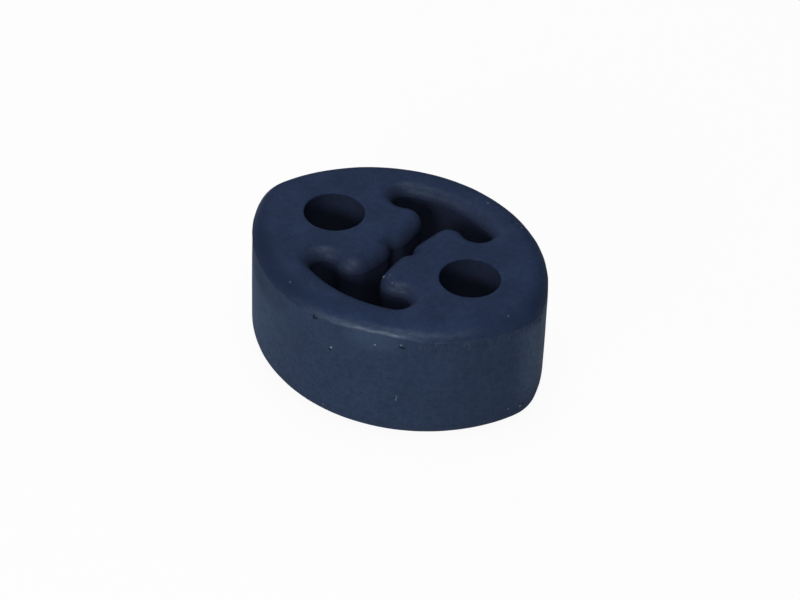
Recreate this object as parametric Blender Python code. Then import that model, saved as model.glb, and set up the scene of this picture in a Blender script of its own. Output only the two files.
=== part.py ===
"""Exhaust mount: one moulded rubber block that hangs an exhaust pipe under a car.

Two round bores take the hanger rods, one from the body and one from the pipe.
Between them an H-shaped slot goes right through: a crescent with rounded ends along
each long side, joined by a narrow gap between two lobes. The lobes are the bump stops,
and the side bands outside the crescents stretch and carry the load.

Frame: metres, +Z up, origin at the middle of the underside. X runs through both
bores, Y runs towards the side bands. The block is symmetric about X = 0 and Y = 0.
"""

import math

import bmesh
import bpy
from mathutils import Vector

# Along X: the rod bores, and the rubber beyond each of them
BORE_DIAMETER = 0.0120
BORE_SPACING = 0.0330
END_WALL = 0.0097
END_RADIUS = 0.0090

# Along Y: the whole width, and the side band outside each crescent
WIDTH = 0.0516
BAND_WIDTH = 0.0077

# Along Z
THICKNESS = 0.0270
TOP_FILLET = 0.0035
UNDERSIDE_FILLET = 0.0045

# Crescents: a round end at each side of the lobes, which runs into the side band
CRESCENT_END_RADIUS = 0.0028
CRESCENT_END_X = 0.00875

# Lobes: the two bump stops that face each other across the gap
GAP = 0.0026
LOBE_FACE_RADIUS = 0.0350
LOBE_FACE_HALF_SPACING = 0.0024
LOBE_TIP_RADIUS = 0.0036

# Groove across the middle of each lobe's face
GROOVE_DEPTH = 0.0012
GROOVE_RADIUS = 0.0012
GROOVE_LIP_RADIUS = 0.0035

# Rounding where the slot meets the two flat faces
SLOT_TOP_FILLET = 0.0030
SLOT_UNDERSIDE_FILLET = 0.0020

# Facets
FILLET_STEPS = 5
CHORD_ERROR = 0.00002

# Overall length, and the largest share of a wall that its rounding may take
LENGTH = BORE_SPACING + BORE_DIAMETER + 2 * END_WALL
FILLET_SHARE = 0.9

RUBBER_COLOUR = (0.020, 0.033, 0.070, 1.0)
RUBBER_ROUGHNESS = 0.55


class Arc:
    """A circular arc of a wall line.

    bulge is +1 where the material lies on the centre's side of the wall, so that
    moving the wall into the material makes the radius smaller, and -1 where the
    empty side holds the centre.
    """

    def __init__(self, centre, radius, start, end, bulge):
        self.centre = centre
        self.radius = radius
        self.start = start
        self.end = end
        self.bulge = bulge

    def step_count(self):
        """Facets that keep the chords within CHORD_ERROR of the arc, at its rounded edge too."""
        widest = self.radius if self.bulge > 0 else self.radius + SLOT_TOP_FILLET
        step = 2 * math.acos(max(0.0, 1 - CHORD_ERROR / widest))
        return max(1, math.ceil(abs(self.end - self.start) / step))

    def points(self, inset):
        """Points along the wall, moved into the material; the arc's end is left out."""
        radius = self.radius - self.bulge * inset
        count = self.step_count()
        angles = [self.start + (self.end - self.start) * i / count for i in range(count)]
        return [self.centre + radius * direction(angle) for angle in angles]


def direction(angle):
    return Vector((math.cos(angle), math.sin(angle)))


def angle_of(vector):
    """Angle of a vector, from 0 to a full turn."""
    return math.atan2(vector.y, vector.x) % (2 * math.pi)


def circle_meet(centre_a, radius_a, centre_b, radius_b):
    """The point left of the way from a to b that lies on both circles."""
    across = centre_b - centre_a
    distance = across.length
    along = (radius_a ** 2 - radius_b ** 2 + distance ** 2) / (2 * distance)
    aside = math.sqrt(radius_a ** 2 - along ** 2)
    unit = across / distance
    return centre_a + along * unit + aside * Vector((-unit.y, unit.x))


def mirrored(arc, sign_x, sign_y):
    """The arc's mirror image, run the other way round for each mirroring."""
    start, end = arc.start, arc.end
    if sign_x < 0:
        start, end = math.pi - end, math.pi - start
    if sign_y < 0:
        start, end = -end, -start
    centre = Vector((arc.centre.x * sign_x, arc.centre.y * sign_y))
    return Arc(centre, arc.radius, start, end, arc.bulge)


def four_fold(quadrant):
    """Closes a quadrant's arcs, run from the X axis to the Y axis, into a full loop."""
    loop = []
    for sign_x, sign_y in ((1, 1), (-1, 1), (-1, -1), (1, -1)):
        copies = [mirrored(arc, sign_x, sign_y) for arc in quadrant]
        if sign_x * sign_y < 0:
            copies.reverse()
        loop.extend(copies)
    return loop


def side_circle():
    """Centre and radius of the arc along the +Y side, which the end arcs run into."""
    half_width = WIDTH / 2
    end_centre_x = LENGTH / 2 - END_RADIUS
    radius = (half_width ** 2 + end_centre_x ** 2 - END_RADIUS ** 2) / (2 * (half_width - END_RADIUS))
    return Vector((0.0, half_width - radius)), radius


def outline_quadrant():
    """The outer wall's first quadrant: an end arc, then half of a side arc."""
    side_centre, side_radius = side_circle()
    end_centre = Vector((LENGTH / 2 - END_RADIUS, 0.0))
    join = angle_of(end_centre - side_centre)
    return [
        Arc(end_centre, END_RADIUS, 0.0, join, 1),
        Arc(side_centre, side_radius, join, math.pi / 2, 1),
    ]


def slot_quadrant():
    """The H-shaped slot's first quadrant, from the groove to the side band."""
    side_centre, side_radius = side_circle()
    band_radius = side_radius - BAND_WIDTH

    # The crescent's round end, inside the band's wall and touching it
    end_distance = band_radius - CRESCENT_END_RADIUS
    end_turn = math.acos(CRESCENT_END_X / end_distance)
    end_centre = side_centre + end_distance * direction(end_turn)

    # The lobe's face, then its tip, which touches the face and the crescent's end
    face_centre = Vector((GAP / 2 + LOBE_FACE_RADIUS, LOBE_FACE_HALF_SPACING))
    tip_centre = circle_meet(
        face_centre,
        LOBE_FACE_RADIUS - LOBE_TIP_RADIUS,
        end_centre,
        CRESCENT_END_RADIUS + LOBE_TIP_RADIUS,
    )

    # The groove, and the lip that rounds its edge into the lobe's face
    groove_centre = Vector((GAP / 2 + GROOVE_DEPTH - GROOVE_RADIUS, 0.0))
    lip_centre = circle_meet(
        groove_centre,
        GROOVE_RADIUS + GROOVE_LIP_RADIUS,
        face_centre,
        LOBE_FACE_RADIUS - GROOVE_LIP_RADIUS,
    )

    groove_end = angle_of(lip_centre - groove_centre)
    lip_end = angle_of(lip_centre - face_centre)
    face_end = angle_of(tip_centre - face_centre)
    tip_end = angle_of(end_centre - tip_centre)
    if tip_end > face_end:
        tip_end -= 2 * math.pi
    return [
        Arc(groove_centre, GROOVE_RADIUS, 0.0, groove_end, -1),
        Arc(lip_centre, GROOVE_LIP_RADIUS, groove_end + math.pi, lip_end, 1),
        Arc(face_centre, LOBE_FACE_RADIUS, lip_end, face_end, 1),
        Arc(tip_centre, LOBE_TIP_RADIUS, face_end, tip_end, 1),
        Arc(end_centre, CRESCENT_END_RADIUS, tip_end - math.pi, end_turn, -1),
        Arc(side_centre, band_radius, end_turn, math.pi / 2, -1),
    ]


def limited(fillet, *walls):
    """A fillet held inside the smallest wall or corner that it runs along."""
    return min(fillet, FILLET_SHARE * min(walls))


def slot_fillet(fillet):
    return limited(fillet, LOBE_TIP_RADIUS, GROOVE_LIP_RADIUS, BAND_WIDTH / 2, THICKNESS / 2)


def edge_fillet(fillet, fillet_across):
    """The outer edge's fillet, kept clear of the slot's across the side band."""
    return limited(fillet, END_RADIUS, END_WALL, BAND_WIDTH - fillet_across, THICKNESS / 2)


def fillet_profile(fillet):
    """(inset, height) pairs of a quarter round, from the flat face up to the wall."""
    turns = [math.pi / 2 * step / FILLET_STEPS for step in range(FILLET_STEPS + 1)]
    return [(fillet * (1 - math.sin(turn)), fillet * (1 - math.cos(turn))) for turn in turns]


def wall_levels(lower_fillet, upper_fillet):
    """(inset, height) pairs of a wall with rounded edges, from the underside to the top."""
    lower = fillet_profile(lower_fillet)
    upper = [(inset, THICKNESS - height) for inset, height in reversed(fillet_profile(upper_fillet))]
    return lower + upper


def add_ring(mesh, points, height):
    verts = [mesh.verts.new((point.x, point.y, height)) for point in points]
    for vert, following in zip(verts, verts[1:] + verts[:1]):
        mesh.edges.new((vert, following))
    return verts


def add_wall(mesh, rings):
    """Quads between rings of equal length; returns the first and the last ring."""
    for lower, upper in zip(rings, rings[1:]):
        count = len(lower)
        for i in range(count):
            j = (i + 1) % count
            mesh.faces.new((lower[i], lower[j], upper[j], upper[i]))
    return rings[0], rings[-1]


def filleted_wall(mesh, arcs, lower_fillet, upper_fillet):
    """A wall along a loop of arcs, rounded into the underside and the top."""
    rings = []
    for inset, height in wall_levels(lower_fillet, upper_fillet):
        points = [point for arc in arcs for point in arc.points(inset)]
        rings.append(add_ring(mesh, points, height))
    return add_wall(mesh, rings)


def bore_wall(mesh, centre_x):
    """A plain cylinder through the block, square to its faces."""
    circle = Arc(Vector((centre_x, 0.0)), BORE_DIAMETER / 2, 0.0, 2 * math.pi, -1)
    rings = [add_ring(mesh, circle.points(0.0), height) for height in (0.0, THICKNESS)]
    return add_wall(mesh, rings)


def fill_face(mesh, rings, normal):
    """One flat face inside the first ring and outside all the others."""
    ends = set(vert for ring in rings for vert in ring)
    edges = [edge for edge in mesh.edges if edge.verts[0] in ends and edge.verts[1] in ends]
    bmesh.ops.triangle_fill(mesh, edges=edges, use_beauty=True, normal=normal)


def rubber_material():
    material = bpy.data.materials.new("rubber")
    material.use_nodes = True
    shader = material.node_tree.nodes["Principled BSDF"]
    shader.inputs["Base Color"].default_value = RUBBER_COLOUR
    shader.inputs["Roughness"].default_value = RUBBER_ROUGHNESS
    shader.inputs["Metallic"].default_value = 0.0
    return material


def hanger_block():
    """The whole mount, moulded in one piece."""
    mesh = bmesh.new()
    slot_lower = slot_fillet(SLOT_UNDERSIDE_FILLET)
    slot_upper = slot_fillet(SLOT_TOP_FILLET)
    edge_lower = edge_fillet(UNDERSIDE_FILLET, slot_lower)
    edge_upper = edge_fillet(TOP_FILLET, slot_upper)
    walls = [
        filleted_wall(mesh, four_fold(outline_quadrant()), edge_lower, edge_upper),
        filleted_wall(mesh, four_fold(slot_quadrant()), slot_lower, slot_upper),
        bore_wall(mesh, BORE_SPACING / 2),
        bore_wall(mesh, -BORE_SPACING / 2),
    ]
    fill_face(mesh, [lower for lower, upper in walls], Vector((0.0, 0.0, -1.0)))
    fill_face(mesh, [upper for lower, upper in walls], Vector((0.0, 0.0, 1.0)))
    bmesh.ops.recalc_face_normals(mesh, faces=mesh.faces)

    data = bpy.data.meshes.new("hanger_block")
    mesh.to_mesh(data)
    mesh.free()
    data.shade_smooth()
    data.set_sharp_from_angle(angle=math.radians(40))
    data.materials.append(rubber_material())
    block = bpy.data.objects.new("hanger_block", data)
    bpy.context.scene.collection.objects.link(block)
    return block


for leftover in list(bpy.data.objects):
    bpy.data.objects.remove(leftover)
hanger_block()
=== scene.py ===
"""Looks of the exhaust mount: a moulded block of dark blue rubber on a white table.

The block is modelled again with a fine skin, from the same arcs as the solid, so that
its rims, its faint unevenness and its small moulding faults are real shape.
"""

import math

import bmesh
import bpy
import numpy as np
from mathutils import Matrix, Vector, noise
from mathutils.geometry import delaunay_2d_cdt


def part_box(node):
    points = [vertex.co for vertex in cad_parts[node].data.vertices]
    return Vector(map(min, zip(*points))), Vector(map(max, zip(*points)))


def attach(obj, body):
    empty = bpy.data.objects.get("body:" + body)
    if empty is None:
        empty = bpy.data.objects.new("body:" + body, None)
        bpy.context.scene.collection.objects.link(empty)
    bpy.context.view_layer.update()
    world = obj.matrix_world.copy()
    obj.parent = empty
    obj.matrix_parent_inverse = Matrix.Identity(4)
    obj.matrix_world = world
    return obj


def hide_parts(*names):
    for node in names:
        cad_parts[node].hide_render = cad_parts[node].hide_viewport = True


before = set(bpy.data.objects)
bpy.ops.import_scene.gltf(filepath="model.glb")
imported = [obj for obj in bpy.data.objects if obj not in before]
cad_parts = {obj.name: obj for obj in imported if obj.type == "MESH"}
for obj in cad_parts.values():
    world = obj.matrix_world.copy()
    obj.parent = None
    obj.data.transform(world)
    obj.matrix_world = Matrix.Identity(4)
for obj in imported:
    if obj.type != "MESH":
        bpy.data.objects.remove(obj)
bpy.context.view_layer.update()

MM = 0.001
NODE = "hanger_block"
PIECE = "hanger_block_rubber"

# Overall size, read from the solid
block_low, block_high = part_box(NODE)
LENGTH = block_high[0] - block_low[0]
WIDTH = block_high[1] - block_low[1]
THICKNESS = block_high[2] - block_low[2]

# Shape, as in the solid
BORE_RADIUS = 6.0 * MM
BORE_SPACING = 33.0 * MM
END_RADIUS = 9.0 * MM
BAND_WIDTH = 7.7 * MM
UNDERSIDE_FILLET = 4.5 * MM
SLOT_TOP_FILLET = 3.0 * MM
SLOT_UNDERSIDE_FILLET = 2.0 * MM
CRESCENT_END_RADIUS = 2.8 * MM
CRESCENT_END_X = 8.75 * MM
GAP = 2.6 * MM
LOBE_FACE_RADIUS = 35.0 * MM
LOBE_FACE_HALF_SPACING = 2.4 * MM
LOBE_TIP_RADIUS = 3.6 * MM
GROOVE_DEPTH = 1.2 * MM
GROOVE_RADIUS = 1.2 * MM
GROOVE_LIP_RADIUS = 3.5 * MM

# Parting line: the top edge's rounding stops at a faint crease, short of the wall. Where the
# line rises, the wall under it slopes in a little. Each form has radius, turn and slope.
CREASE_LOW = (3.77 * MM, math.radians(72.5), 0.0)
CREASE_HIGH = (3.62 * MM, math.radians(58.0), 0.53 * MM)
CREASE_SOFT = (4.60 * MM, math.radians(64.0), 0.0)
CREASE_BLEND = 0.07 * MM
SLOPE_FOOT = 20.3 * MM
SLOPE_STEPS = 9

# The slot's rounding ends at such a crease too, and is tighter on walls that face back
SLOT_CREASE = (3.03 * MM, math.radians(82.0), 0.0)
SLOT_TIGHT = (2.40 * MM, math.radians(82.0), 0.0)
SLOT_TIGHT_GAIN = 1.6
SLOT_BACK = math.radians(124.5)

# The wider rounding is kept round this spot on the right lobe's face
SLOT_WIDE_SPOT = (2.0 * MM, 5.5 * MM)
SLOT_WIDE_REACH = 5.5 * MM

# The slot's roundings are duller near the middle: distances from the X axis, and polish there
SLOT_DULL_REACH = (5.0 * MM, 10.0 * MM)
SLOT_DULL_POLISH = (0.3, 1.0)

# Round the block, by turn in degrees from +X: shares of the high and soft forms, polish, and painted shade
# on the top edge's rounding
EDGE_PLACES = (
    (-180, 0.30, 0.0, 0.30, 0.00),
    (-170, 0.00, 0.0, 0.30, 0.05),
    (-160, 0.00, 0.0, 0.20, 0.45),
    (-148, 0.00, 0.0, 0.10, 0.90),
    (-125, 0.00, 0.0, 0.10, 0.90),
    (-110, 0.00, 0.0, 0.25, 0.80),
    (-95, 0.05, 0.0, 0.55, 0.40),
    (-83, 0.25, 0.0, 0.80, 0.00),
    (-70, 0.70, 0.0, 0.95, 0.00),
    (-60, 0.80, 0.0, 1.00, 0.00),
    (-53, 0.50, 0.3, 0.95, 0.00),
    (-42, 0.00, 0.8, 0.85, 0.00),
    (-29, 0.00, 1.0, 0.70, 0.00),
    (-9, 0.00, 0.5, 0.20, 0.35),
    (10, 0.10, 0.0, 0.10, 0.30),
    (25, 0.40, 0.0, 0.10, 0.00),
    (40, 0.90, 0.0, 0.10, 0.00),
    (60, 0.60, 0.0, 0.10, 0.00),
    (80, 0.30, 0.0, 0.10, 0.00),
    (100, 0.00, 0.0, 0.10, 0.00),
    (130, 0.35, 0.0, 0.10, 0.00),
    (155, 0.90, 0.0, 0.10, 0.00),
    (170, 0.70, 0.0, 0.10, 0.00),
    (180, 0.30, 0.0, 0.30, 0.00),
)

# Lean of the outer wall in plan, by height, stronger at the left end
LEAN = 0.45 * MM
LEAN_TURN = math.radians(214.5)
LEAN_HEIGHTS = (4.5 * MM, 24.4 * MM, 27.0 * MM)
LEAN_SHARES = (0.0, 1.0, 0.30)
LEAN_EVEN = 0.55

# Unevenness of the skin, as (size of the waves, depth)
WAVES = (9.0 * MM, 0.05 * MM)
DIMPLES = (2.4 * MM, 0.012 * MM)
RIDGE = (3.0 * MM, 0.035 * MM)
RIM_TEETH = (1.1 * MM, 0.05 * MM)

# The flat faces have a part of it. The waves lie mostly below the skin, and the ridge above it
FACE_SHARE = 0.25
WAVES_DOWN = 0.3
RIDGE_UP = 0.6
SLOT_RIDGE = 0.7
DIMPLES_SHIFT = 50 * MM

# Moulding faults in millimetres: place, radius, and how far the rubber stands out (+) or in (-)
FAULTS = [
    ((-1.7, -25.8, 24.0), 0.50, -0.12),
    ((-1.0, -25.8, 24.0), 0.35, -0.08),
    ((16.2, -21.5, 22.8), 0.55, -0.14),
    ((15.6, -21.9, 10.4), 0.50, -0.10),
    ((31.8, 2.2, 23.0), 0.60, -0.14),
    ((30.2, 6.7, 13.1), 0.60, -0.12),
    ((2.7, -9.3, 25.9), 0.50, 0.14),
    ((11.7, 4.5, 26.9), 0.45, 0.12),
    ((-17.4, 5.9, 26.9), 0.40, 0.10),
]

# Dark spots: place and radius in millimetres, and share. Those at the hollow faults above are painted shade
# in them; the rest are dark marks
PIT_SHADE_AND_MARKS = [
    ((-1.7, -25.8, 24.3), 0.34, 0.9),
    ((-1.7, -25.8, 23.8), 0.36, 0.9),
    ((-1.1, -25.8, 24.0), 0.28, 0.9),
    ((15.8, -21.6, 22.9), 0.28, 0.8),
    ((16.2, -21.4, 22.8), 0.36, 0.9),
    ((16.6, -21.2, 22.8), 0.26, 0.8),
    ((2.4, -25.8, 18.0), 0.34, 0.7),
    ((31.8, 2.2, 23.0), 0.42, 0.9),
    ((30.2, 6.7, 13.1), 0.34, 0.7),
    ((12.5, 19.7, 27.0), 0.30, 0.7),
    ((15.2, 19.7, 26.7), 0.26, 0.7),
    ((32.0, -1.8, 4.8), 0.34, 0.6),
    ((-17.8, -20.7, 6.4), 0.30, 0.5),
    ((15.4, -22.0, 10.3), 0.18, 0.6),
]

# Pale specks of dust and scuffs, in the same way
SPECKS = [
    ((2.6, -25.8, 18.6), 0.26, 1.0),
    ((11.4, -23.7, 22.5), 0.24, 0.7),
    ((-10.0, -22.7, 26.4), 0.16, 0.6),
    ((28.8, -4.5, 26.6), 0.18, 0.4),
    ((15.65, -21.85, 9.9), 0.18, 0.5),
    ((15.75, -21.8, 10.35), 0.16, 0.5),
    ((15.7, -21.85, 10.8), 0.16, 0.5),
    ((2.7, -9.4, 26.0), 0.26, 0.8),
    ((5.4, -10.4, 26.5), 0.14, 0.4),
    ((3.8, -9.0, 26.75), 0.15, 0.4),
    ((16.0, -21.55, 23.4), 0.22, 0.6),
    ((31.8, -2.5, 4.4), 0.26, 0.6),
    ((30.8, -5.2, 4.9), 0.22, 0.4),
    ((5.2, 21.7, 27.0), 0.22, 0.5),
    ((14.9, 19.7, 26.7), 0.22, 0.5),
    ((13.5, 20.0, 26.85), 0.20, 0.3),
    ((-14.7, -22.4, 5.0), 0.22, 0.45),
    ((1.2, -25.7, 3.6), 0.20, 0.4),
]

# Fine skin
BORE_RIM = 0.25 * MM
BORE_RIM_REACH = 1.5 * BORE_RIM
WALL_STEP = 0.4 * MM
RIM_STEP = 0.3 * MM
LEVEL_STEP = 0.6 * MM
FACE_STEP = 0.6 * MM
BORDER_CLEARANCE = 0.6 * FACE_STEP
TRIANGULATION_TOLERANCE = 1e-6
FLAT_NORMAL = 0.999
FILLET_STEPS = 12
RIM_STEPS = 4
CREASED_STEPS = FILLET_STEPS + 2

# What each vertex has a share of: the attributes that the rubber reads
SHARE_NAMES = ("gloss", "wall", "ridge", "wear", "inside")

# Shares across each upper rounding, from its foot up to the top face
EDGE_GLOSS = (0.85, 1.0, 1.0, 0.55, 0.05, 0.0, 0.0, 0.0)
# Painted shade that darkens the top edge's rounding, most at both ends
EDGE_SHADE_SPREAD = (0.5, 0.8, 1.0, 1.0, 0.95, 0.75, 0.4, 0.0)
SLOT_GLOSS = (0.0, 0.2, 0.4, 0.5, 0.4, 0.1, 0.0)
SLOT_SHADE = (1.0, 1.0, 0.915, 0.83, 0.745, 0.66, 0.575, 0.49, 0.405, 0.32, 0.235, 0.15, 0.0, 0.0)
RIM_GLOSS = (0.0, 0.1, 0.1)

# Rubber and what lies on it, with the colours of the painted shade and painted sheen
DARK_RUBBER = (0.0145, 0.0250, 0.0580, 1)
LIGHT_RUBBER = (0.0210, 0.0350, 0.0780, 1)
# Colour of the painted shade on the top edge's rounding at the ends
EDGE_SHADE_RUBBER = (0.0095, 0.0145, 0.0330, 1)
# Colour of the painted shade on the walls deep in the slot and bores
SHADED_RUBBER = (0.0185, 0.0190, 0.0300, 1)
# Painted sheen: lightens and greys the outer wall as light bounced from the table would
WALL_SHEEN = (0.042, 0.063, 0.105, 1)
# Colour of the painted sheen, the table's reflection, on the ends' walls and under the crease
PALE_SHEEN = (0.068, 0.107, 0.175, 1)
# Colour of the dark scuffs, and of the painted shade in small hollows
SCUFF_AND_PIT_SHADE = (0.004, 0.006, 0.012, 1)
DUST = (0.22, 0.26, 0.32, 1)
SCUFF = (0.075, 0.095, 0.140, 1)
# How much of the painted sheen the outer wall gets
WALL_SHEEN_SHARE = 0.36
FINE_DUST = 0.2

# How much the slot's and bores' walls are shaded, at two heights in millimetres
SHADED_HEIGHTS = (25.5, 18.5)
SHADED_SHARES = (0.45, 0.68)

# Painted sheen on the ends' walls, the table's reflection painted in, in millimetres: its upper edge, how
# ragged that is, and how much lower it lies between two places along X
SHEEN_EDGE = (24.0, 27.5)
SHEEN_RAGGED = 5.0
SHEEN_LOWER_LEFT = ((-31.0, -22.0), (-3.0, 4.5))
SHEEN_LOWER_RIGHT = ((18.0, 26.0), (4.5, 0.0))

# Between which places the painted sheen of each end changes, and its strengths there
LEFT_SHEEN = ((-30.0, -4.0), (0.62, 0.0))
LEFT_TIP_SHEEN = ((-31.0, -26.0), (0.38, 0.0))
LEFT_BROW_SHEEN = ((-32.0, -26.0), (0.5, 0.0))
LEFT_BROW_HEIGHTS = (13.0, 19.0)
RIGHT_SHEEN_FROM = (24.0, 28.0)
RIGHT_SHEEN = ((-6.0, 1.5), (0.0, 0.85))
RIGHT_SHEEN_FOOT = ((3.0, 11.0), (0.25, 1.0))

# The stretch of wall under the raised crease, paler with painted light, and the scuffs to the right of it
UNDER_CREASE_UP = (20.0, 23.5)
UNDER_CREASE_DOWN = (24.9, 25.3)
UNDER_CREASE_LEFT = ((3.0, 9.0), (0.0, 0.22))
UNDER_CREASE_RIGHT = (12.0, 18.0)
SCUFFS_UP = (21.0, 22.8)
SCUFFS_DOWN = (24.3, 24.8)
SCUFFS_LEFT = ((15.0, 22.0), (0.0, 0.3))

# Gloss and grain
FLAT_GLOSS = 0.02
ROUND_GLOSS = 0.46
GLOSS_TINT = (0.76, 0.92, 1.0, 1)
FLAT_ROUGHNESS = 0.50
ROUND_ROUGHNESS = 0.33
GRAIN_DEPTH = 0.03 * MM

# Table, with the share of plain white in what is seen of it
TABLE_RADIUS = 3.0
TABLE_SIDES = 96
TABLE_DROP = 0.1 * MM
TABLE_COLOUR = (0.8, 0.8, 0.8, 1)
TABLE_WHITE = 0.94

# Lamps: azimuth, elevation, width, height and power
LAMP_DISTANCE = 0.8
LAMPS = {
    "overhead": (0, 86, 0.5, 0.5, 3.8),
    "key": (10, 22, 0.30, 0.18, 2.3),
    "left_front": (-25, 20, 0.4, 0.3, 0.9),
    "back_left": (-135, 30, 0.36, 0.36, 1.0),
    "front_right": (45, 55, 0.36, 0.36, 0.95),
}
WORLD_STRENGTH = 0.02

# Camera, from the photograph's outline, bore rims and slot edges
CAMERA_AZIMUTH = 34.5
CAMERA_ELEVATION = 38.5
CAMERA_ROLL = 3.2
CAMERA_DISTANCE = 874 * MM
CAMERA_LENS = 199.4
SENSOR_WIDTH = 36
AIM_RIGHT = 0.28 * MM
AIM_UP = -0.30 * MM


# Plan lines as chains of arcs


class Arc:
    """An arc of a wall line; bulge is +1 where the rubber holds the centre, -1 where the air does."""

    def __init__(self, centre, radius, start, end, bulge):
        self.centre = np.array(centre, float)
        self.radius = radius
        self.start = start
        self.end = end
        self.bulge = bulge

    def points(self, step):
        """Points along the wall, and for each the way into the rubber; the arc's end is left out."""
        widest = self.radius if self.bulge > 0 else self.radius + SLOT_TOP_FILLET / 2
        count = max(2, math.ceil(abs(self.end - self.start) * widest / step))
        turns = self.start + (self.end - self.start) * np.arange(count) / count
        ways = np.stack([np.cos(turns), np.sin(turns)], axis=1)
        return self.centre + self.radius * ways, -self.bulge * ways


def direction(angle):
    return np.array([math.cos(angle), math.sin(angle)])


def angle_of(vector):
    return math.atan2(vector[1], vector[0]) % (2 * math.pi)


def circle_meet(centre_a, radius_a, centre_b, radius_b):
    """The point left of the way from a to b that lies on both circles."""
    across = centre_b - centre_a
    distance = np.hypot(*across)
    along = (radius_a ** 2 - radius_b ** 2 + distance ** 2) / (2 * distance)
    aside = math.sqrt(radius_a ** 2 - along ** 2)
    unit = across / distance
    return centre_a + along * unit + aside * np.array([-unit[1], unit[0]])


def mirrored(arc, sign_x, sign_y):
    """The arc's mirror image, run the other way round for each mirroring."""
    start, end = arc.start, arc.end
    if sign_x < 0:
        start, end = math.pi - end, math.pi - start
    if sign_y < 0:
        start, end = -end, -start
    return Arc(arc.centre * (sign_x, sign_y), arc.radius, start, end, arc.bulge)


def four_fold(quadrant):
    """Closes a quadrant's arcs, run from the X axis to the Y axis, into a full loop."""
    loop = []
    for sign_x, sign_y in ((1, 1), (-1, 1), (-1, -1), (1, -1)):
        copies = [mirrored(arc, sign_x, sign_y) for arc in quadrant]
        if sign_x * sign_y < 0:
            copies.reverse()
        loop.extend(copies)
    return loop


def side_circle():
    """Centre and radius of the arc along the +Y side."""
    half_width = WIDTH / 2
    end_x = LENGTH / 2 - END_RADIUS
    radius = (half_width ** 2 + end_x ** 2 - END_RADIUS ** 2) / (2 * (half_width - END_RADIUS))
    return np.array([0.0, half_width - radius]), radius


def outline_arcs():
    side_centre, side_radius = side_circle()
    end_centre = np.array([LENGTH / 2 - END_RADIUS, 0.0])
    join = angle_of(end_centre - side_centre)
    return four_fold([
        Arc(end_centre, END_RADIUS, 0.0, join, 1),
        Arc(side_centre, side_radius, join, math.pi / 2, 1),
    ])


def slot_arcs():
    """The H-shaped slot: groove, lip, lobe face, lobe tip, crescent end, side band."""
    side_centre, side_radius = side_circle()
    band_radius = side_radius - BAND_WIDTH
    end_distance = band_radius - CRESCENT_END_RADIUS
    end_turn = math.acos(CRESCENT_END_X / end_distance)
    end_centre = side_centre + end_distance * direction(end_turn)
    face_centre = np.array([GAP / 2 + LOBE_FACE_RADIUS, LOBE_FACE_HALF_SPACING])
    tip_centre = circle_meet(
        face_centre,
        LOBE_FACE_RADIUS - LOBE_TIP_RADIUS,
        end_centre,
        CRESCENT_END_RADIUS + LOBE_TIP_RADIUS,
    )
    groove_centre = np.array([GAP / 2 + GROOVE_DEPTH - GROOVE_RADIUS, 0.0])
    lip_centre = circle_meet(
        groove_centre,
        GROOVE_RADIUS + GROOVE_LIP_RADIUS,
        face_centre,
        LOBE_FACE_RADIUS - GROOVE_LIP_RADIUS,
    )
    groove_end = angle_of(lip_centre - groove_centre)
    lip_end = angle_of(lip_centre - face_centre)
    face_end = angle_of(tip_centre - face_centre)
    tip_end = angle_of(end_centre - tip_centre)
    if tip_end > face_end:
        tip_end -= 2 * math.pi
    return four_fold([
        Arc(groove_centre, GROOVE_RADIUS, 0.0, groove_end, -1),
        Arc(lip_centre, GROOVE_LIP_RADIUS, groove_end + math.pi, lip_end, 1),
        Arc(face_centre, LOBE_FACE_RADIUS, lip_end, face_end, 1),
        Arc(tip_centre, LOBE_TIP_RADIUS, face_end, tip_end, 1),
        Arc(end_centre, CRESCENT_END_RADIUS, tip_end - math.pi, end_turn, -1),
        Arc(side_centre, band_radius, end_turn, math.pi / 2, -1),
    ])


# Skin of the block


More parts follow.
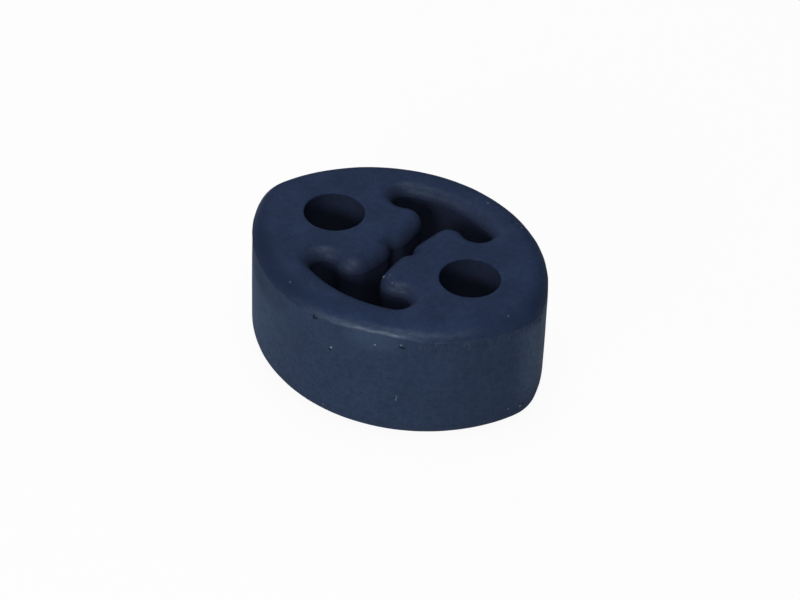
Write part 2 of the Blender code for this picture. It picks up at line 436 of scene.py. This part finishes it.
class Skin:
    """Collects vertices and faces for one closed mesh, and what each vertex has of SHARE_NAMES."""

    def __init__(self):
        self.blocks = []
        self.shares = []
        self.faces = []
        self.count = 0

    def add_points(self, plan, height, shares=0.0):
        """Adds points at one height or at one each, and returns their numbers."""
        heights = np.broadcast_to(height, len(plan))
        self.blocks.append(np.column_stack([plan, heights]))
        self.shares.append(np.broadcast_to(shares, (len(plan), len(SHARE_NAMES))))
        numbers = np.arange(self.count, self.count + len(plan))
        self.count += len(plan)
        return numbers

    def add_wall(self, arcs, profiles, shares, step, mix=None, lean=None):
        """A wall along arcs, level by level; returns its lowest and highest ring.

        A profile has the (inset, height) of each level. mix gives for each place along the
        arcs how much it has of each profile, and of each of the shares.
        """
        pieces = [arc.points(step) for arc in arcs]
        line = np.concatenate([points for points, _ in pieces])
        inwards = np.concatenate([ways for _, ways in pieces])
        weights, strengths = np.ones((len(line), 1)), 1.0
        if mix is not None:
            weights, strengths = mix(line, inwards)
        rings = []
        for level, row in enumerate(shares):
            pairs = weights @ np.array([profile[level] for profile in profiles])
            plan = line + inwards * pairs[:, :1]
            heights = pairs[:, 1]
            if lean is not None:
                plan = plan + lean(plan, heights)
            rings.append((plan, self.add_points(plan, heights, row * strengths)))
        for (_, lower), (_, upper) in zip(rings, rings[1:]):
            following = np.roll(lower, -1), np.roll(upper, -1)
            quads = np.stack([lower, following[0], following[1], upper], axis=1)
            self.faces.extend(quads.tolist())
        return rings[0], rings[-1]

    def add_flat(self, rings, height, up):
        """A flat face inside the first ring and outside the others, with points all over it."""
        plans = [plan for plan, _ in rings]
        inner = face_points(plans)
        numbers = np.concatenate([ring for _, ring in rings] + [self.add_points(inner, height)])
        plan = np.concatenate(plans + [inner])
        edges = []
        first = 0
        for ring in plans:
            ends = np.arange(first, first + len(ring))
            edges.extend(zip(ends.tolist(), np.roll(ends, -1).tolist()))
            first += len(ring)
        points = [Vector(point) for point in plan / MM]
        _, _, triangles, origin, _, _ = delaunay_2d_cdt(points, edges, [], 0, TRIANGULATION_TOLERANCE)
        corners = np.array([[origin[i][0] for i in triangle] for triangle in triangles])
        kept = numbers[corners[inside(plan[corners].mean(axis=1), plans)]]
        self.faces.extend((kept if up else kept[:, ::-1]).tolist())

    def mesh(self, name):
        data = bpy.data.meshes.new(name)
        data.from_pydata(np.concatenate(self.blocks).tolist(), [], self.faces)
        shares = np.concatenate(self.shares)
        for column, label in enumerate(SHARE_NAMES):
            attribute = data.attributes.new(label, "FLOAT", "POINT")
            attribute.data.foreach_set("value", shares[:, column].copy())
        data.update()
        return data


def quarter_round(radius, steps):
    """(inset, drop) pairs of a rounding, from the flat face to the wall."""
    turns = np.linspace(0, math.pi / 2, steps + 1)
    return radius * np.column_stack([1 - np.sin(turns), 1 - np.cos(turns)])


def creased_round(form, steps):
    """(inset, drop) pairs of the top edge's rounding, down to the crease and the foot of the slope."""
    radius, turn, slope = form
    turns = np.linspace(0, turn, steps + 1)
    pairs = radius * np.column_stack([math.sin(turn) - np.sin(turns), 1 - np.cos(turns)])
    pairs[:, 0] += slope
    above = pairs[-1] + CREASE_BLEND * np.array([math.cos(turn), -math.sin(turn)])
    reach = THICKNESS - SLOPE_FOOT - pairs[-1, 1]
    drops = np.concatenate([[CREASE_BLEND], np.linspace(0, reach, SLOPE_STEPS + 1)[1:]])
    under = np.column_stack([slope * (1 - drops / reach) ** 2, pairs[-1, 1] + drops])
    return np.concatenate([pairs[:-1], [above], pairs[-1:], under])


def wall_levels(lower, upper):
    """(inset, height) rows of a wall from the underside to the top, between two roundings."""
    upper = upper[::-1] * (1, -1) + (0, THICKNESS)
    straight = upper[0, 1] - lower[-1, 1]
    heights = np.linspace(lower[-1, 1], upper[0, 1], math.ceil(straight / LEVEL_STEP) + 1)[1:-1]
    middle = np.column_stack([np.zeros(len(heights)), heights])
    return np.concatenate([lower, middle, upper])


def level_shares(count, steps, full, spread, ridge=0.0):
    """SHARE_NAMES for each level of a wall whose upper rounding has the last steps levels.

    The share that full names is 1 up to the rounding's foot. Those in spread have values
    spaced evenly from the foot up to the top face. The ridge is at the foot alone.
    """
    shares = np.zeros((count, len(SHARE_NAMES)))
    rise = np.linspace(0, 1, steps)
    shares[:1 - steps, SHARE_NAMES.index(full)] = 1.0
    for name, values in spread.items():
        shares[-steps:, SHARE_NAMES.index(name)] = np.interp(rise, np.linspace(0, 1, len(values)), values)
    shares[-steps, SHARE_NAMES.index("ridge")] = ridge
    return shares


def strengths_along(line, **given):
    """Strengths of SHARE_NAMES along a wall, 1 where they aren't given."""
    plain = np.ones(len(line))
    return np.column_stack([given.get(name, plain) for name in SHARE_NAMES])


def edge_mix(line, inwards):
    """Shares of the crease's forms, and strengths of SHARE_NAMES, along the outer wall."""
    turns = np.degrees(np.arctan2(line[:, 1], line[:, 0]))
    places, high, soft, polish, wear = np.array(EDGE_PLACES).T
    high, soft, polish, wear = (np.interp(turns, places, column) for column in (high, soft, polish, wear))
    return np.column_stack([1 - high - soft, high, soft]), strengths_along(line, gloss=polish, wear=wear)


def slot_mix(line, inwards):
    """Shares of the slot's wider and tighter rounding, and strengths of SHARE_NAMES, along its wall."""
    tight = np.clip(-SLOT_TIGHT_GAIN * inwards @ direction(SLOT_BACK), 0, 1)
    away = np.linalg.norm(line - SLOT_WIDE_SPOT, axis=1) / SLOT_WIDE_REACH
    tight = tight * np.clip(away, 0, 1) ** 2
    polish = np.interp(np.abs(line[:, 1]), SLOT_DULL_REACH, SLOT_DULL_POLISH)
    return np.column_stack([1 - tight, tight]), strengths_along(line, gloss=polish)


def wall_lean(plan, height):
    """The outer wall leans a little, most at the crease: the rubber came out of its mould askew."""
    way = direction(LEAN_TURN)
    along = plan @ way / (LENGTH / 2)
    share = np.interp(height, LEAN_HEIGHTS, LEAN_SHARES) * (LEAN_EVEN + (1 - LEAN_EVEN) * along)
    return LEAN * share[:, None] * way


def in_loop(points, loop):
    """Whether each point lies inside a closed loop."""
    x, y = points[:, 0, None], points[:, 1, None]
    x0, y0 = loop[:, 0], loop[:, 1]
    x1, y1 = np.roll(x0, -1), np.roll(y0, -1)
    crosses = (y0 > y) != (y1 > y)
    rise = np.where(y1 == y0, 1.0, y1 - y0)
    hits = crosses & (x < x0 + (y - y0) * (x1 - x0) / rise)
    return hits.sum(axis=1) % 2 == 1


def inside(points, plans):
    """Whether each point lies in the first loop and in none of the others."""
    result = in_loop(points, plans[0])
    for hole in plans[1:]:
        result &= ~in_loop(points, hole)
    return result


def face_points(plans):
    """A triangular grid of points over a flat face, clear of its borders."""
    row_step = FACE_STEP * math.sqrt(3) / 2
    rows = np.arange(-WIDTH / 2, WIDTH / 2, row_step)
    columns = np.arange(-LENGTH / 2, LENGTH / 2, FACE_STEP)
    x, y = np.meshgrid(columns, rows)
    x = x + (np.arange(len(rows)) % 2)[:, None] * FACE_STEP / 2
    points = np.column_stack([x.ravel(), y.ravel()])
    points = points[inside(points, plans)]
    border = np.concatenate(plans)
    clearance = np.array([np.hypot(*(border - point).T).min() for point in points])
    return points[clearance > BORDER_CLEARANCE]


def creased_levels(underside_fillet, forms):
    """Profiles of a wall, one for each form of its upper rounding."""
    foot = quarter_round(underside_fillet, FILLET_STEPS)
    return [wall_levels(foot, creased_round(form, FILLET_STEPS)) for form in forms]


def add_outer_wall(skin):
    edge = creased_levels(UNDERSIDE_FILLET, (CREASE_LOW, CREASE_HIGH, CREASE_SOFT))
    spread = {"gloss": EDGE_GLOSS, "wear": EDGE_SHADE_SPREAD}
    shares = level_shares(len(edge[0]), CREASED_STEPS, "wall", spread, ridge=1.0)
    return skin.add_wall(outline_arcs(), edge, shares, WALL_STEP, edge_mix, wall_lean)


def add_slot_wall(skin):
    slot = creased_levels(SLOT_UNDERSIDE_FILLET, (SLOT_CREASE, SLOT_TIGHT))
    spread = {"gloss": SLOT_GLOSS, "inside": SLOT_SHADE}
    shares = level_shares(len(slot[0]), CREASED_STEPS, "inside", spread, ridge=SLOT_RIDGE)
    return skin.add_wall(slot_arcs(), slot, shares, RIM_STEP, slot_mix)


def add_bore_wall(skin, side):
    rim = quarter_round(BORE_RIM, RIM_STEPS)
    bore = wall_levels(rim, rim)
    shares = level_shares(len(bore), RIM_STEPS + 1, "inside", {"gloss": RIM_GLOSS})
    circle = Arc((side * BORE_SPACING / 2, 0.0), BORE_RADIUS, 0.0, 2 * math.pi, -1)
    return skin.add_wall([circle], [bore], shares, RIM_STEP)


def block_mesh():
    skin = Skin()
    walls = [add_outer_wall(skin), add_slot_wall(skin), add_bore_wall(skin, -1), add_bore_wall(skin, 1)]
    skin.add_flat([lowest for lowest, _ in walls], 0.0, up=False)
    skin.add_flat([highest for _, highest in walls], THICKNESS, up=True)
    return skin.mesh(PIECE)


def close_outward(data):
    """Turns every face outwards."""
    work = bmesh.new()
    work.from_mesh(data)
    bmesh.ops.recalc_face_normals(work, faces=work.faces)
    work.to_mesh(data)
    work.free()


def smooth_noise(points, size):
    """Soft noise from -1 to 1 at each point, with waves of the given size."""
    return np.array([noise.noise(Vector(point)) for point in points / size])


def add_unevenness(data):
    """Moves the skin in and out: waves and dimples, the crease's ridge, ragged bore rims and faults."""
    count = len(data.vertices)
    places = np.empty(count * 3)
    normals = np.empty(count * 3)
    ridge = np.empty(count)
    data.vertices.foreach_get("co", places)
    data.vertices.foreach_get("normal", normals)
    data.attributes["ridge"].data.foreach_get("value", ridge)
    places = places.reshape(-1, 3)
    normals = normals.reshape(-1, 3)

    face = np.abs(normals[:, 2]) > FLAT_NORMAL
    share = np.where(face, FACE_SHARE, 1.0)
    size, depth = WAVES
    move = share * depth * (smooth_noise(places, size) - WAVES_DOWN)
    size, depth = DIMPLES
    move += share * depth * smooth_noise(places + DIMPLES_SHIFT, size)
    size, depth = RIDGE
    move += ridge * depth * (smooth_noise(places, size) + RIDGE_UP)

    from_bore = np.hypot(np.abs(places[:, 0]) - BORE_SPACING / 2, places[:, 1]) - BORE_RADIUS
    on_rim = (np.abs(from_bore) < BORE_RIM_REACH) & (places[:, 2] > THICKNESS - BORE_RIM_REACH)
    size, depth = RIM_TEETH
    move += np.where(on_rim, depth * smooth_noise(places, size), 0.0)

    for place, radius, height in FAULTS:
        distance = np.linalg.norm(places - np.array(place) * MM, axis=1)
        move += height * MM * np.exp(-((distance / (radius * MM)) ** 2))

    places += normals * move[:, None]
    data.vertices.foreach_set("co", places.ravel())
    data.update()


# Materials


class Tree:
    """A material's nodes, added one at a time with their settings and links."""

    def __init__(self, name):
        self.material = bpy.data.materials.new(name)
        self.material.use_nodes = True
        self.nodes = self.material.node_tree.nodes
        self.links = self.material.node_tree.links

    def feed(self, socket, value):
        if isinstance(value, bpy.types.NodeSocket):
            self.links.new(value, socket)
        else:
            socket.default_value = value

    def add(self, kind, inputs=(), **settings):
        """Adds a node, gives its inputs by name or number, and returns it."""
        node = self.nodes.new("ShaderNode" + kind)
        for name, value in settings.items():
            setattr(node, name, value)
        for key, value in dict(inputs).items():
            self.feed(node.inputs[key], value)
        return node

    def attribute(self, name):
        return self.add("Attribute", attribute_name=name).outputs["Fac"]

    def math(self, operation, *values):
        return self.add("Math", dict(enumerate(values)), operation=operation).outputs[0]

    def product(self, *values):
        total = values[0]
        for value in values[1:]:
            total = self.math("MULTIPLY", total, value)
        return total

    def sum(self, *values):
        total = values[0]
        for value in values[1:]:
            total = self.math("ADD", total, value)
        return total

    def weighted(self, *terms):
        """Sum of values, each given with its weight."""
        return self.sum(*[self.product(value, weight) for value, weight in terms])

    def ramp(self, value, limits, to=(0.0, 1.0)):
        """Smooth step of a value between two limits."""
        low, high = limits
        inputs = {"Value": value, "From Min": low, "From Max": high, "To Min": to[0], "To Max": to[1]}
        return self.add("MapRange", inputs, interpolation_type="SMOOTHSTEP").outputs["Result"]

    def noise(self, coords, scale, detail=2.0, roughness=0.5):
        """Noise from about 0.2 to 0.8; scale is its waves per millimetre, or that along each axis."""
        if isinstance(scale, tuple):
            coords, scale = self.stretched(coords, scale), 1.0
        inputs = {"Vector": coords, "Scale": scale, "Detail": detail, "Roughness": roughness}
        return self.add("TexNoise", inputs).outputs["Fac"]

    def stretched(self, coords, scale):
        return self.add("Mapping", {"Vector": coords, "Scale": scale}).outputs[0]

    def blend(self, share, a, b):
        """Mix of two colours."""
        node = self.add("Mix", data_type="RGBA")
        self.feed(node.inputs[0], share)
        self.feed(node.inputs[6], a)
        self.feed(node.inputs[7], b)
        return node.outputs[2]


class Surface:
    """What the rubber's looks depend on: place in millimetres, shares and patterns."""

    def __init__(self, tree):
        place = tree.add("TexCoord").outputs["Object"]
        self.coords = tree.stretched(place, (1 / MM, 1 / MM, 1 / MM))
        parts = tree.add("SeparateXYZ", {0: self.coords}).outputs
        self.across = parts["X"]
        self.along = parts["Y"]
        self.height = parts["Z"]
        self.gloss = tree.attribute("gloss")
        self.wall = tree.attribute("wall")
        self.wear = tree.attribute("wear")
        self.inside = tree.attribute("inside")
        self.mottle = tree.noise(self.coords, 0.9, 4.0, 0.6)
        self.drag = tree.noise(self.coords, (1.6, 1.6, 0.16), 3.0, 0.6)
        self.fleck = tree.noise(self.coords, 3.0, 3.0, 0.7)
        self.patchiness = tree.weighted((self.drag, 0.2), (self.mottle, 0.4), (self.fleck, 0.4))


def rubber_colour(tree, surface):
    """Clouded rubber, with painted sheen on the outer wall, painted shade deep in the slot and bores, and
    painted shade on the ends' top edges.
    """
    clouds = tree.noise(surface.coords, 0.16, 3.0)
    tone = tree.weighted((clouds, 0.35), (surface.mottle, 0.3), (surface.fleck, 0.35))
    colour = tree.blend(tree.ramp(tone, (0.38, 0.62)), DARK_RUBBER, LIGHT_RUBBER)
    # Painted sheen on the outer wall, in patches
    wall_sheen = tree.product(surface.wall, tree.ramp(surface.patchiness, (0.40, 0.60), (0.65, 1.1)), WALL_SHEEN_SHARE)
    colour = tree.blend(wall_sheen, colour, WALL_SHEEN)
    # Painted shade on the slot's and bores' walls, darker lower down
    shaded = tree.product(surface.inside, tree.ramp(surface.height, SHADED_HEIGHTS, SHADED_SHARES))
    colour = tree.blend(shaded, colour, SHADED_RUBBER)
    # Painted shade on the rounding of the ends' top edges
    edge_shading = tree.product(surface.wear, tree.ramp(surface.patchiness, (0.36, 0.60), (0.40, 0.75)))
    return tree.blend(edge_shading, colour, EDGE_SHADE_RUBBER)


def ends_sheen(tree, surface):
    """Share of the painted grey sheen, a reflection of the table, low on the walls of both ends, with a
    ragged upper edge.
    """
    left_drop = tree.ramp(surface.across, *SHEEN_LOWER_LEFT)
    right_drop = tree.ramp(surface.across, *SHEEN_LOWER_RIGHT)
    dropped = tree.sum(surface.height, tree.math("MINIMUM", left_drop, right_drop))
    ragged = tree.math("MULTIPLY_ADD", surface.mottle, SHEEN_RAGGED, dropped)
    low = tree.product(surface.wall, tree.ramp(ragged, SHEEN_EDGE, (1.0, 0.0)))
    brow = tree.ramp(surface.across, *LEFT_BROW_SHEEN)
    left = tree.sum(
        tree.ramp(surface.across, *LEFT_SHEEN),
        tree.ramp(surface.across, *LEFT_TIP_SHEEN),
        tree.product(brow, tree.ramp(surface.height, LEFT_BROW_HEIGHTS)),
    )
    right = tree.product(
        tree.ramp(surface.across, RIGHT_SHEEN_FROM),
        tree.ramp(surface.along, *RIGHT_SHEEN),
        tree.ramp(surface.height, *RIGHT_SHEEN_FOOT),
    )
    patchy = tree.ramp(surface.patchiness, (0.38, 0.58), (0.45, 1.0))
    return tree.product(low, tree.math("MAXIMUM", left, right), patchy)


def crease_sheen(tree, surface):
    """Share of the painted light just under the raised part of the crease, where the wall slopes in."""
    return tree.product(
        tree.ramp(surface.height, UNDER_CREASE_UP),
        tree.ramp(surface.height, UNDER_CREASE_DOWN, (1.0, 0.0)),
        surface.wall,
        tree.ramp(surface.across, *UNDER_CREASE_LEFT),
        tree.ramp(surface.across, UNDER_CREASE_RIGHT, (1.0, 0.0)),
    )


def scuffed(tree, surface, colour):
    """The colour with short pale and dark scuffs under the crease."""
    band = tree.product(
        tree.ramp(surface.height, SCUFFS_UP),
        tree.ramp(surface.height, SCUFFS_DOWN, (1.0, 0.0)),
        tree.ramp(surface.across, *SCUFFS_LEFT),
        surface.wall,
    )
    scuffs = tree.noise(surface.coords, (2.4, 2.4, 0.9), 2.0, 0.6)
    colour = tree.blend(tree.product(band, tree.ramp(scuffs, (0.57, 0.66))), colour, SCUFF)
    return tree.blend(tree.product(band, tree.ramp(scuffs, (0.43, 0.34))), colour, SCUFF_AND_PIT_SHADE)


def spot_mask(tree, surface, spots):
    """Each spot's share inside it, fading out at soft ragged edges."""
    ragged = tree.noise(surface.coords, 5.0)
    mask = 0.0
    for place, radius, share in spots:
        ends = {0: surface.coords, 1: place}
        distance = tree.add("VectorMath", ends, operation="DISTANCE").outputs["Value"]
        reach = tree.math("MULTIPLY_ADD", ragged, -0.5 * radius, distance)
        spot = tree.ramp(reach, (0.25 * radius, 0.9 * radius), (share, 0.0))
        mask = tree.math("MAXIMUM", mask, spot)
    return mask


def dust_mask(tree, surface):
    """The marked specks, and a few fine ones anywhere."""
    cells = tree.add("TexVoronoi", {"Vector": surface.coords, "Scale": 0.55}).outputs
    fine = tree.ramp(cells["Distance"], (0.03, 0.07), (1.0, 0.0))
    chosen = tree.add("SeparateColor", {0: cells["Color"]}).outputs[0]
    fine = tree.product(fine, tree.ramp(chosen, (0.80, 0.84)), FINE_DUST)
    return tree.math("MAXIMUM", spot_mask(tree, surface, SPECKS), fine)


def rubber_gloss(tree, surface):
    """The mould was smoother in the roundings; the flats and walls are duller."""
    streaks = tree.noise(surface.coords, (0.7, 0.7, 2.5), 3.0, 0.6)
    streaks = tree.product(surface.gloss, tree.ramp(streaks, (0.38, 0.62), (0.75, 1.15)))
    gloss = tree.ramp(streaks, (0.0, 1.15), (FLAT_GLOSS, ROUND_GLOSS))
    grazing = tree.add("LayerWeight", {"Blend": 0.5}).outputs["Facing"]
    return tree.product(gloss, tree.ramp(grazing, (0.30, 0.80), (1.0, 0.15)))


def rubber_roughness(tree, surface):
    rough = tree.ramp(surface.gloss, (0.0, 1.0), (FLAT_ROUGHNESS, ROUND_ROUGHNESS))
    return tree.sum(rough, tree.ramp(surface.drag, (0.25, 0.75), (-0.06, 0.06)))


def rubber_relief(tree, surface):
    """Grain all over, and fine lines that run level along the roundings."""
    lines = tree.product(tree.noise(surface.coords, (0.5, 0.5, 4.0)), surface.gloss, 0.7)
    grain = tree.noise(surface.coords, 2.2, 3.0, 0.6)
    relief = tree.sum(tree.product(surface.drag, 0.5), grain, lines)
    return tree.add("Bump", {"Strength": 1.0, "Distance": GRAIN_DEPTH, "Height": relief}).outputs[0]


def rubber_material():
    """Satin blue-black rubber: mottled, with a painted grey sheen on the ends' walls, and glossier
    roundings.
    """
    tree = Tree("moulded_rubber")
    surface = Surface(tree)
    colour = rubber_colour(tree, surface)
    # Painted sheen on the ends' walls, in place of the table's reflection
    colour = tree.blend(ends_sheen(tree, surface), colour, PALE_SHEEN)
    # Painted light on the wall that slopes in under the raised crease
    colour = tree.blend(crease_sheen(tree, surface), colour, PALE_SHEEN)
    colour = scuffed(tree, surface, colour)
    colour = tree.blend(dust_mask(tree, surface), colour, DUST)
    # Painted shade in the small hollows, and dark marks
    colour = tree.blend(spot_mask(tree, surface, PIT_SHADE_AND_MARKS), colour, SCUFF_AND_PIT_SHADE)
    shader = tree.nodes["Principled BSDF"].inputs
    tree.feed(shader["Base Color"], colour)
    tree.feed(shader["Specular IOR Level"], rubber_gloss(tree, surface))
    tree.feed(shader["Specular Tint"], GLOSS_TINT)
    tree.feed(shader["Roughness"], rubber_roughness(tree, surface))
    tree.feed(shader["Normal"], rubber_relief(tree, surface))
    return tree.material


def table_material():
    """Shows as white itself, with a trace of shading so that the block's shadow stays."""
    tree = Tree("white_table")
    shader = tree.nodes["Principled BSDF"]
    shader.inputs["Base Color"].default_value = TABLE_COLOUR
    shader.inputs["Roughness"].default_value = 0.9
    shader.inputs["Specular IOR Level"].default_value = 0.0
    glow = tree.add("Emission", {"Strength": 1.0})
    path = tree.add("LightPath").outputs
    seen = tree.math("MAXIMUM", path["Is Camera Ray"], path["Is Glossy Ray"])
    seen = tree.math("MAXIMUM", seen, path["Is Transmission Ray"])
    parts = {0: tree.product(seen, TABLE_WHITE), 1: shader.outputs[0], 2: glow.outputs[0]}
    shown = tree.add("MixShader", parts).outputs[0]
    tree.feed(tree.nodes["Material Output"].inputs[0], shown)
    return tree.material


# Objects


def add_block():
    data = block_mesh()
    close_outward(data)
    add_unevenness(data)
    data.shade_smooth()
    data.materials.append(rubber_material())
    piece = bpy.data.objects.new(PIECE, data)
    bpy.context.scene.collection.objects.link(piece)
    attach(piece, "root")
    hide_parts(NODE)


def add_table():
    data = bpy.data.meshes.new("table_top")
    turns = [2 * math.pi * i / TABLE_SIDES for i in range(TABLE_SIDES)]
    corners = [(TABLE_RADIUS * math.cos(turn), TABLE_RADIUS * math.sin(turn), -TABLE_DROP) for turn in turns]
    data.from_pydata(corners, [], [list(range(TABLE_SIDES))])
    data.materials.append(table_material())
    table = bpy.data.objects.new("table_top", data)
    bpy.context.scene.collection.objects.link(table)


def towards(azimuth, elevation):
    """Unit vector towards a place; azimuth 0 is the -Y side, and it grows towards +X."""
    turn, rise = math.radians(azimuth), math.radians(elevation)
    return Vector((math.sin(turn) * math.cos(rise), -math.cos(turn) * math.cos(rise), math.sin(rise)))


def add_lamp(name, azimuth, elevation, width, height, power):
    light = bpy.data.lights.new(name, "AREA")
    light.shape = "RECTANGLE"
    light.size = width
    light.size_y = height
    light.energy = power
    lamp = bpy.data.objects.new(name, light)
    back = towards(azimuth, elevation)
    lamp.location = Vector((0, 0, THICKNESS / 2)) + back * LAMP_DISTANCE
    lamp.rotation_euler = back.to_track_quat("Z", "Y").to_euler()
    bpy.context.scene.collection.objects.link(lamp)


def set_world():
    world = bpy.data.worlds.new("studio")
    world.use_nodes = True
    background = world.node_tree.nodes["Background"]
    background.inputs["Strength"].default_value = WORLD_STRENGTH
    background.inputs["Color"].default_value = (1, 1, 1, 1)
    bpy.context.scene.world = world


def add_camera():
    data = bpy.data.cameras.new("camera")
    data.sensor_width = SENSOR_WIDTH
    data.lens = CAMERA_LENS
    data.clip_start = 0.01
    data.clip_end = 50
    camera = bpy.data.objects.new("camera", data)
    bpy.context.scene.collection.objects.link(camera)
    back = towards(CAMERA_AZIMUTH, CAMERA_ELEVATION)
    right = towards(CAMERA_AZIMUTH + 90, 0)
    up = back.cross(right)
    aim = Vector((0, 0, THICKNESS / 2)) + right * AIM_RIGHT + up * AIM_UP
    level = Matrix((right, up, back)).transposed().to_4x4()
    roll = Matrix.Rotation(math.radians(CAMERA_ROLL), 4, "Z")
    camera.matrix_world = Matrix.Translation(aim + back * CAMERA_DISTANCE) @ level @ roll
    bpy.context.scene.camera = camera


add_block()
add_table()
for lamp_name, lamp_form in LAMPS.items():
    add_lamp(lamp_name, *lamp_form)
set_world()
add_camera()

bpy.context.scene.view_settings.view_transform = "Standard"
